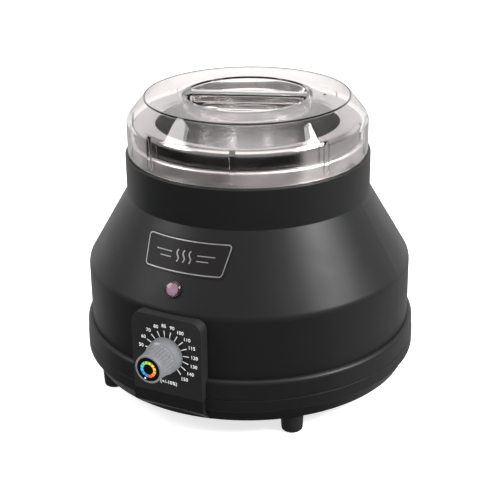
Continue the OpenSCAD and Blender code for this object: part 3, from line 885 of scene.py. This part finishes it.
@dataclass
class Dial:
    """The white scale printed round the knob."""

    marks: tuple[tuple[str, float], ...] = (
        ("50", -83), ("60", -63), ("70", -43.5), ("80", -23.5), ("85", -5.5), ("90", 12), ("100", 30),
        ("110", 48), ("115", 66), ("120", 86), ("130", 105), ("140", 124), ("150", 143),
    )
    inner: float = 11.5
    outer: float = 16.75
    line: float = 0.6
    label_r: float = 20.4
    label_shift: float = 0.5
    label_h: float = 2.55
    lift: float = 0.08
    note: str = "(+/-10%)"
    note_drop: float = 21.9

    def lettering(self, bm: bmesh.types.BMesh, text: str, x: float, y: float) -> None:
        """Adds upright characters centred on a point of the panel.

        Args:
            bm: The mesh, in millimetres as seen from the front.
            text: The characters.
            x: The way right of the dial's centre.
            y: The way up.
        """
        curve = bpy.data.curves.new("characters", "FONT")
        curve.body = text
        curve.align_x, curve.align_y = "CENTER", "CENTER"
        curve.size = self.label_h / 0.72
        curve.space_character = 1.05
        curve.offset = 0.03
        curve.extrude = self.lift / 2
        curve.resolution_u = 4
        holder = bpy.data.objects.new("characters", curve)
        bpy.context.scene.collection.objects.link(holder)
        mesh = bpy.data.meshes.new_from_object(holder.evaluated_get(bpy.context.evaluated_depsgraph_get()))
        part = bmesh.new()
        part.from_mesh(mesh)
        reach = [v.co for v in part.verts]
        middle = (min(c.y for c in reach) + max(c.y for c in reach)) / 2
        bmesh.ops.translate(part, vec=(x, y - middle, self.lift / 2), verts=part.verts)
        part.to_mesh(mesh)
        part.free()
        bm.from_mesh(mesh)
        bpy.data.objects.remove(holder)
        bpy.data.curves.remove(curve)
        bpy.data.meshes.remove(mesh)

    def build(self, finisher: Finisher) -> None:
        """Makes ticks and numbers as one thin print.

        Args:
            finisher: Dresses the pieces.
        """
        bm = bmesh.new()
        for label, angle in self.marks:
            a = math.radians(angle)
            tick = [(-self.line / 2, self.inner), (self.line / 2, self.inner),
                    (self.line / 2, self.outer), (-self.line / 2, self.outer)]
            turned = [
                (x * math.cos(a) + y * math.sin(a), y * math.cos(a) - x * math.sin(a)) for x, y in tick
            ]
            loft(bm, [[Vector((x, y, z)) for x, y in turned] for z in (0.0, self.lift)])
            across = self.label_shift + self.label_r * math.sin(a)
            self.lettering(bm, label, across, self.label_r * math.cos(a))
        self.lettering(bm, self.note, self.label_shift, -self.note_drop)
        turn = Matrix.Translation(Place.dial() / MM) @ Matrix.Rotation(math.pi / 2, 4, "X")
        bmesh.ops.transform(bm, matrix=turn, verts=bm.verts)
        finisher.add(finished("dial_print", bm), "root", "scale_white", "dial_scale")


# ------------------------------------------------------------------ knob


@dataclass
class Knob:
    """The fluted thermostat knob, its cap, heat marks and pointer."""

    skirt_r: float = 12.6
    ring_r: float = 11.9
    ring_h: float = 8.3
    barrel_r: float = 10.8
    face_r: float = 10.0
    height: float = 24.1
    back: float = 1.0
    cap_r: float = 8.5
    hollow_r: float = 10.2
    pointer_reach: float = 7.3
    flutes: int = 24
    flute_depth: float = 0.75
    marks: int = 12
    mark_low: float = 3.7
    mark_high: float = 5.8
    mark_half: tuple[float, float] = (0.95, 1.25)
    dot_r: float = 0.65
    off_angle: float = -159.0

    def turn(self) -> Matrix:
        """Returns where the knob goes: local Z points out of the panel, Y up."""
        return Matrix.Translation(Place.dial() / MM) @ Matrix.Rotation(math.pi / 2, 4, "X")

    def flute(self, r: float, h: float, a: float) -> float:
        """Returns the barrel's radius, which dips at each flute and runs out near the face.

        Args:
            r: The plain radius.
            h: The way out from the panel.
            a: The angle round the knob.
        """
        start, end = self.ring_h + 1.2, self.height - 3.2
        if r < self.face_r - 0.3 or not start < h < end:
            return r
        run_out = min(1.0, (end - h) / 1.2, (h - start) / 0.5)
        wave = 0.5 + 0.5 * math.cos(self.flutes * a)
        return r - self.flute_depth * run_out * wave**1.6

    def body(self) -> bpy.types.Object:
        """Makes the knob's moulding.

        Returns:
            The new piece.
        """
        inside = self.ring_h - 0.3
        outline = rounded([
            (0.0, 19.5, 0), (5.0, 19.5, 0), (5.0, inside, 0), (self.hollow_r, inside, 0.5),
            (self.hollow_r, self.back, 0), (self.skirt_r, self.back, 0.2),
            (self.skirt_r - 0.1, 3.2, 0.5), (self.ring_r, self.ring_h, 0.2),
            (self.barrel_r, self.ring_h + 1, 0.2), (self.face_r, self.height - 3, 1.0),
            (self.face_r, self.height, 0.8), (self.cap_r, self.height, 0.2),
            (self.cap_r, self.height - 0.8, 0), (0.0, self.height - 0.8, 0),
        ], 6)
        bm = bmesh.new()
        revolve(bm, divided(outline, 0.8), Vector((0, 0, 0)), self.flutes * 12, self.flute)
        bmesh.ops.transform(bm, matrix=self.turn(), verts=bm.verts)
        return finished("knob_moulding", bm)

    def cap(self) -> bpy.types.Object:
        """Makes the flat cap with a fine rounded rim.

        Returns:
            The new piece.
        """
        top = self.height - 0.2
        outline = rounded([(0.0, self.height - 0.8, 0), (self.cap_r - 0.05, self.height - 0.8, 0),
                           (self.cap_r - 0.05, top, 0.2), (0.0, top, 0)], 4)
        bm = bmesh.new()
        revolve(bm, divided(outline, 1.0), Vector((0, 0, 0)), 96)
        bmesh.ops.transform(bm, matrix=self.turn(), verts=bm.verts)
        return finished("knob_disc", bm)

    def mark_ring(self) -> bpy.types.Object:
        """Makes the ring of short bars with rounded ends.

        Returns:
            The new piece.
        """
        bm = bmesh.new()
        low, high = self.height - 0.2, self.height - 0.08
        near, far = self.mark_half
        for n in range(self.marks):
            a = 2 * math.pi * (n + 0.5) / self.marks
            bar = rounded([
                (-near, self.mark_low, 0.3), (near, self.mark_low, 0.3),
                (far, self.mark_high, 0.3), (-far, self.mark_high, 0.3),
            ], 4)
            turned = [(x * math.cos(a) + y * math.sin(a), y * math.cos(a) - x * math.sin(a)) for x, y in bar]
            loft(bm, [[Vector((x, y, z)) for x, y in turned] for z in (low, high)])
        bmesh.ops.transform(bm, matrix=self.turn(), verts=bm.verts)
        return finished("knob_marks", bm)

    def pointer(self) -> bpy.types.Object:
        """Makes the white dot that is read against the scale.

        Returns:
            The new piece.
        """
        low, high = self.height - 0.2, self.height - 0.05
        outline = rounded([(0.0, low, 0), (self.dot_r, low, 0), (self.dot_r, high, 0.08), (0.0, high, 0)], 3)
        bm = bmesh.new()
        a = math.radians(self.off_angle)
        reach = self.pointer_reach
        revolve(bm, outline, Vector((reach * math.sin(a), reach * math.cos(a), 0)), 32)
        bmesh.ops.transform(bm, matrix=self.turn(), verts=bm.verts)
        return finished("knob_dot", bm)

    def build(self, finisher: Finisher) -> None:
        """Makes the knob's four visible pieces.

        Args:
            finisher: Dresses the pieces.
        """
        finisher.add(self.body(), "knob", "knob_grey", "knob_body")
        finisher.add(self.cap(), "knob", "cap_black", "knob_cap")
        finisher.add(self.mark_ring(), "knob", "marks_colour", "heat_marks")
        finisher.add(self.pointer(), "knob", "pointer_white", "knob_pointer")


# ------------------------------------------------------------------ well, pot and lid


@dataclass
class Well:
    """The spun aluminium well that heats the pot."""

    wall: float = 1.5
    bore_r: float = 68.5
    rim_r: float = 82.0
    segments: int = 256

    def build(self, finisher: Finisher) -> None:
        """Makes the well as one turned shell.

        Args:
            finisher: Dresses the pieces.
        """
        low, top = Place.span("heating_well")
        ledge = Place.span("well_gasket")[1]
        outer = self.bore_r + self.wall
        outline = rounded([
            (0, low, 0), (outer, low, 8), (outer, top - self.wall, 1),
            (self.rim_r - self.wall, top - self.wall, 0.8), (self.rim_r - self.wall, ledge, 0),
            (self.rim_r, ledge, 0.3), (self.rim_r, top, 1.8), (self.bore_r, top, 2),
            (self.bore_r, low + self.wall, 6.5), (0, low + self.wall, 0),
        ])
        bm = bmesh.new()
        revolve(bm, divided(outline, 5.0), Place.axis() / MM, self.segments)
        finisher.add(finished("well_shell", bm), "root", "well_aluminium", "heating_well")


@dataclass
class Pot:
    """The lift-out aluminium wax pot with its flat lip."""

    wall: float = 1.5
    mouth_r: float = 65.0
    lip_r: float = 80.5
    taper: float = 4.5
    dish: float = 2.4
    segments: int = 288

    def build(self, finisher: Finisher) -> None:
        """Makes the pot as one turned shell.

        Args:
            finisher: Dresses the pieces.
        """
        low, lip = Place.span("wax_pot")
        skirt = Place.span("heating_well")[1] + 0.3
        floor_r = self.mouth_r - self.taper
        mouth = lip - self.dish
        outline = rounded([
            (0, low, 0), (floor_r + self.wall, low, 9), (self.mouth_r + self.wall, mouth - self.wall, 1),
            (self.lip_r - 3, lip - self.wall, 0), (self.lip_r - self.wall, lip - 4, 0),
            (self.lip_r - self.wall, skirt, 0.4), (self.lip_r, skirt, 0.4), (self.lip_r, lip, 3),
            (self.mouth_r, mouth, 2.2), (floor_r, low + self.wall, 7.5), (0, low + self.wall, 0),
        ])
        bm = bmesh.new()
        revolve(bm, divided(outline, 4.0), Place.axis() / MM, self.segments)
        finisher.add(finished("pot_shell", bm), "pot", "pot_aluminium", "wax_pot")


@dataclass
class Lid:
    """The clear lid: a shouldered cover with two finger pockets and a grip bar between them."""

    wall: float = 2.0
    outer_r: float = 85.7
    edge_r: float = 72.85
    upright: float = 24.0
    shoulder_round: float = 5.0
    recess_r: float = 43.6
    bar: float = 11.0
    bar_angle: float = 110.0
    corner: float = 4.0
    draft: float = 0.8
    floor_round: float = 2.2
    ribs: int = 8
    rib_size: tuple[float, float, float] = (4.0, 1.2, 22.7)
    rib_start: float = 20.0
    vent_r: float = 1.0
    vent_reach: float = 54.5
    segments: int = 288

    def turn(self, angle: float) -> Matrix:
        """Returns a turn about the body's axis that carries -Y to the angle from the front."""
        return Matrix.Translation(Place.axis() / MM) @ Matrix.Rotation(math.radians(angle), 4, "Z")

    def cup_low(self) -> float:
        """Returns the height of the pockets' underside."""
        return Place.span("lid_pockets")[0]

    def half_moon(self, inset: float, z: float, side: int) -> list[Vector]:
        """Gives one level of a finger pocket.

        Args:
            inset: How far the level stands in from the pocket's mouth; negative flares it.
            z: The height.
            side: 1 or -1, the side of the bar.

        Returns:
            The outline, with the bar along Y.
        """
        reach = self.recess_r - inset
        chord = self.bar / 2 + inset
        r = max(0.8, self.corner - inset)
        cx = math.sqrt((reach - r) ** 2 - (chord + r) ** 2)
        meet = math.atan2(chord + r, cx)
        arcs = [(cx, chord + r, r, -math.pi / 2, meet, 8), (0.0, 0.0, reach, meet, math.pi - meet, 72),
                (-cx, chord + r, r, math.pi - meet, 1.5 * math.pi, 8)]
        flat: list[tuple[float, float]] = []
        for x, y, radius, start, end, steps in arcs:
            angles = [start + (end - start) * k / steps for k in range(steps + 1)]
            ring = [(x + radius * math.cos(a), y + radius * math.sin(a)) for a in angles]
            flat += ring[1:] if flat else ring
        flat += [(-cx + 2 * cx * k / 12, chord) for k in range(1, 12)]
        return [Vector((side * y, -side * x, z)) for x, y in flat]

    def pocket(self, bm: bmesh.types.BMesh, side: int) -> None:
        """Adds the space of one finger pocket, with a rounded floor and an eased mouth.

        Args:
            bm: The mesh.
            side: 1 or -1, the side of the bar.
        """
        top = Place.span("lid_shell")[1]
        floor = self.cup_low() + self.wall
        levels = [
            (self.draft + self.floor_round * (1 - math.sin(a)), floor + self.floor_round * (1 - math.cos(a)))
            for a in (math.pi / 2 * k / 6 for k in range(7))
        ]
        levels += [(0.15, top - 0.7), (0.0, top - 0.45), (-0.12, top - 0.2), (-0.4, top), (-0.4, top + 2)]
        loft(bm, [self.half_moon(inset, z, side) for inset, z in levels])
        bmesh.ops.transform(bm, matrix=self.turn(self.bar_angle), verts=bm.verts)

    def cover(self, bm: bmesh.types.BMesh) -> None:
        """Adds the lid's turned shell with a solid plug where the pockets go.

        Args:
            bm: The mesh.
        """
        low, top = Place.span("lid_wall_odd")[0], Place.span("lid_shell")[1]
        shoulder = low + self.upright
        cup = self.cup_low()
        outline = rounded([
            (self.outer_r - self.wall, low, 0.4), (self.outer_r, low, 0.6),
            (self.outer_r, shoulder, self.shoulder_round), (self.edge_r, top, 0.5), (0, top, 0),
            (0, cup, 0), (self.recess_r + self.wall, cup, 2.5),
            (self.recess_r + self.wall, top - self.wall, 0.6), (self.edge_r - 0.8, top - self.wall, 0.6),
            (self.outer_r - self.wall, shoulder - 0.8, 3.5),
        ])
        revolve(bm, divided(outline, 5.0), Place.axis() / MM, self.segments)

    def hollow_bar(self, bm: bmesh.types.BMesh) -> None:
        """Adds the space under the grip bar, so that its walls are as thin as the rest.

        Args:
            bm: The mesh.
        """
        top = Place.span("lid_shell")[1]
        half = self.bar / 2 - self.wall
        length = self.recess_r - 3
        low = self.cup_low() - 1
        block(bm, (-half, -length, low), (half, length, top - self.wall), self.turn(self.bar_angle), 0.5)

    def rib_set(self, bm: bmesh.types.BMesh) -> None:
        """Adds the upright ribs inside the wall.

        Args:
            bm: The mesh.
        """
        low = Place.span("lid_wall_odd")[0] + 2
        width, depth, height = self.rib_size
        inner = self.outer_r - self.wall
        for n in range(self.ribs):
            turn = self.turn(self.rib_start + 360 * n / self.ribs)
            block(bm, (-width / 2, -inner - 0.6, low), (width / 2, -inner + depth, low + height), turn, 0.35)

    def vent(self, bm: bmesh.types.BMesh) -> None:
        """Adds the steam vent's hole.

        Args:
            bm: The mesh.
        """
        top = Place.span("lid_shell")[1]
        outline = [(0.0, top - 5), (self.vent_r, top - 5), (self.vent_r, top - 0.3),
                   (self.vent_r + 0.35, top + 1), (0.0, top + 1)]
        revolve(bm, outline, self.turn(self.bar_angle) @ Vector((0, -self.vent_reach, 0)), 32)

    def build(self, finisher: Finisher) -> None:
        """Makes the lid as one solid.

        Args:
            finisher: Dresses the pieces.
        """
        base = solid_of("cover", self.cover)
        pockets = [solid_of("pocket", lambda bm, s=side: self.pocket(bm, s)) for side in (1, -1)]
        steps = [("DIFFERENCE", pocket) for pocket in pockets]
        steps += [("DIFFERENCE", solid_of("bar", self.hollow_bar))]
        steps += [("DIFFERENCE", solid_of("vent", self.vent)), ("UNION", solid_of("ribs", self.rib_set))]
        cover = carved("lid_cover", base, steps)
        finisher.add(cover, "lid", "lid_smoke", "lid_shell", "lid_pockets", "lid_wall_odd", "lid_wall_even")


# ------------------------------------------------------------------ studio


def outward(azimuth: float, elevation: float) -> Vector:
    """Gives the direction from the object to a place round it.

    Args:
        azimuth: Degrees round from the front, towards the right.
        elevation: Degrees above the table.

    Returns:
        The direction, of length 1.
    """
    a, e = math.radians(azimuth), math.radians(elevation)
    return Vector((math.sin(a) * math.cos(e), -math.cos(a) * math.cos(e), math.sin(e)))


@dataclass
class Camera:
    """The camera, aimed at a point on the body's axis."""

    azimuth: float = 27.0
    elevation: float = 21.90
    distance: float = 0.8865
    aim: float = 0.113
    roll: float = -0.74
    lens: float = 87.06
    shift: tuple[float, float] = (0.0022, -0.0604)

    def build(self) -> None:
        """Makes the camera and sets it as the scene's."""
        away = outward(self.azimuth, self.elevation)
        data = bpy.data.cameras.new("camera")
        data.lens = self.lens
        data.shift_x, data.shift_y = self.shift
        data.clip_start, data.clip_end = 0.05, 60.0
        camera = bpy.data.objects.new("camera", data)
        bpy.context.scene.collection.objects.link(camera)
        target = Place.axis() + Vector((0, 0, self.aim))
        look = (-away).to_track_quat("-Z", "Y").to_matrix().to_4x4()
        roll = Matrix.Rotation(math.radians(self.roll), 4, "Z")
        camera.matrix_world = Matrix.Translation(target + away * self.distance) @ look @ roll
        bpy.context.scene.camera = camera


@dataclass
class Softbox:
    """A square area light aimed at the object."""

    name: str
    azimuth: float
    elevation: float
    distance: float
    size: float
    power: float

    def build(self, centre: Vector) -> None:
        """Makes the light.

        Args:
            centre: The point that it is aimed at.
        """
        away = outward(self.azimuth, self.elevation)
        data = bpy.data.lights.new(self.name, "AREA")
        data.shape = "SQUARE"
        data.size = self.size
        data.energy = self.power
        lamp = bpy.data.objects.new(self.name, data)
        lamp.location = centre + away * self.distance
        lamp.rotation_mode = "QUATERNION"
        lamp.rotation_quaternion = (-away).to_track_quat("-Z", "Y")
        bpy.context.scene.collection.objects.link(lamp)


@dataclass
class Sky:
    """Soft light from all round, which is brightest overhead and behind the object.

    Below the horizon it is dark in front, with a pale stretch on one side and behind.
    """

    front: float = 0.30
    backdrop: float = 1.0
    backdrop_azimuth: float = 207.0
    overhead: float = 1.9
    below: float = 0.01
    table: float = 0.50
    beside: float = 0.50
    beside_azimuth: float = 135.0

    def facing(self, g: Nodes, way: bpy.types.NodeSocket, azimuth: float) -> bpy.types.NodeSocket:
        """Measures how far a direction points to an azimuth.

        Args:
            g: The world's nodes.
            way: The socket of the direction.
            azimuth: Degrees round from the front.

        Returns:
            The socket of a number from -1 to 1.
        """
        a = math.radians(azimuth)
        aim = (math.sin(a), -math.cos(a), 0.0)
        return g.add("ShaderNodeVectorMath", {0: way, 1: aim}, operation="DOT_PRODUCT").outputs["Value"]

    def mixed(self, g: Nodes, share: bpy.types.NodeSocket, a: object, b: object) -> bpy.types.NodeSocket:
        """Returns a number that runs from a to b with the share."""
        rest = g.math("SUBTRACT", 1.0, share)
        return g.math("ADD", g.math("MULTIPLY", rest, a), g.math("MULTIPLY", share, b))

    def build(self) -> None:
        """Makes the scene's world."""
        world = bpy.data.worlds.new("sky")
        world.use_nodes = True
        g = Nodes(world.node_tree)
        way = g.add("ShaderNodeTexCoord").outputs["Generated"]
        z = g.add("ShaderNodeSeparateXYZ", {0: way}).outputs[2]
        beside = g.step(self.facing(g, way, self.beside_azimuth), 0.50, 0.64)
        behind = g.step(self.facing(g, way, self.backdrop_azimuth), 0.25, 0.60)
        low = self.mixed(g, beside, self.below, self.beside)
        low = g.math("MAXIMUM", low, g.math("MULTIPLY", behind, self.table))
        under_top = g.math("SUBTRACT", 1.0, g.step(z, 0.38, 0.62))
        around = self.mixed(g, g.math("MULTIPLY", behind, under_top), self.front, self.backdrop)
        high = self.mixed(g, g.step(z, 0.62, 0.95), around, self.overhead)
        level = self.mixed(g, g.step(z, -0.25, -0.18), low, high)
        back = world.node_tree.nodes["Background"]
        back.inputs["Color"].default_value = (1.0, 1.0, 1.0, 1.0)
        world.node_tree.links.new(level, back.inputs["Strength"])
        bpy.context.scene.world = world


@dataclass
class Studio:
    """A pale floor that mirrors do not show, soft lights and a sky."""

    floor_size: float = 14.0
    floor_colour: Colour = (0.80, 0.80, 0.80)
    floor_glow: float = 0.72
    boxes: tuple[Softbox, ...] = (
        Softbox("box_right", 93, 36, 1.5, 0.55, 27),
        Softbox("box_left", -52, 34, 1.5, 0.6, 8),
    )
    sky: Sky = field(default_factory=Sky)

    def floor(self) -> None:
        """Makes the floor, which reflections leave out so that the black mouldings stay dark."""
        half = self.floor_size / 2
        bm = bmesh.new()
        signs = ((-1, -1), (1, -1), (1, 1), (-1, 1))
        bm.faces.new([bm.verts.new((x * half, y * half, 0.0)) for x, y in signs])
        mesh = bpy.data.meshes.new("floor")
        bm.to_mesh(mesh)
        bm.free()
        g = Graph("floor_pale")
        g.set(Base_Color=(*self.floor_colour, 1.0), Roughness=0.7, Specular_IOR_Level=0.2)
        g.set(Emission_Color=(1.0, 1.0, 1.0, 1.0), Emission_Strength=self.floor_glow)
        bounces = g.add("ShaderNodeLightPath").outputs["Glossy Depth"]
        mirrored = g.math("GREATER_THAN", bounces, 0.5)
        clear = g.add("ShaderNodeBsdfTransparent")
        mix = g.add("ShaderNodeMixShader", {0: mirrored, 1: g.shader.outputs[0], 2: clear.outputs[0]})
        g.tree.links.new(mix.outputs[0], g.output.inputs["Surface"])
        mesh.materials.append(g.material)
        floor = bpy.data.objects.new("floor", mesh)
        floor.visible_glossy = False
        bpy.context.scene.collection.objects.link(floor)

    def build(self) -> None:
        """Makes the floor, the lights and the sky."""
        self.floor()
        centre = Place.axis() + Vector((0, 0, 0.1))
        for box in self.boxes:
            box.build(centre)
        self.sky.build()
        bpy.context.scene.view_settings.view_transform = "Standard"


def corners(box: tuple[Vector, Vector]) -> list[list[float]]:
    """Returns a box as plain lists of numbers."""
    return [[float(value) for value in corner] for corner in box]


def main() -> None:
    """Builds every sub-assembly in order."""
    logging.basicConfig(level=logging.INFO, format="%(message)s")
    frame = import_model()
    Camera().build()
    slots = {part["node"]: part["material_slot"] for part in frame["record"]["subparts"]}
    finisher = Finisher(slots)
    finisher.dress_nodes(frame["nodes"])
    for assembly in (NamePlate(), PilotLamp(), Dial(), Knob(), Well(), Pot(), Lid()):
        assembly.build(finisher)
    Studio().build()


if __name__ == "__main__":
    main()
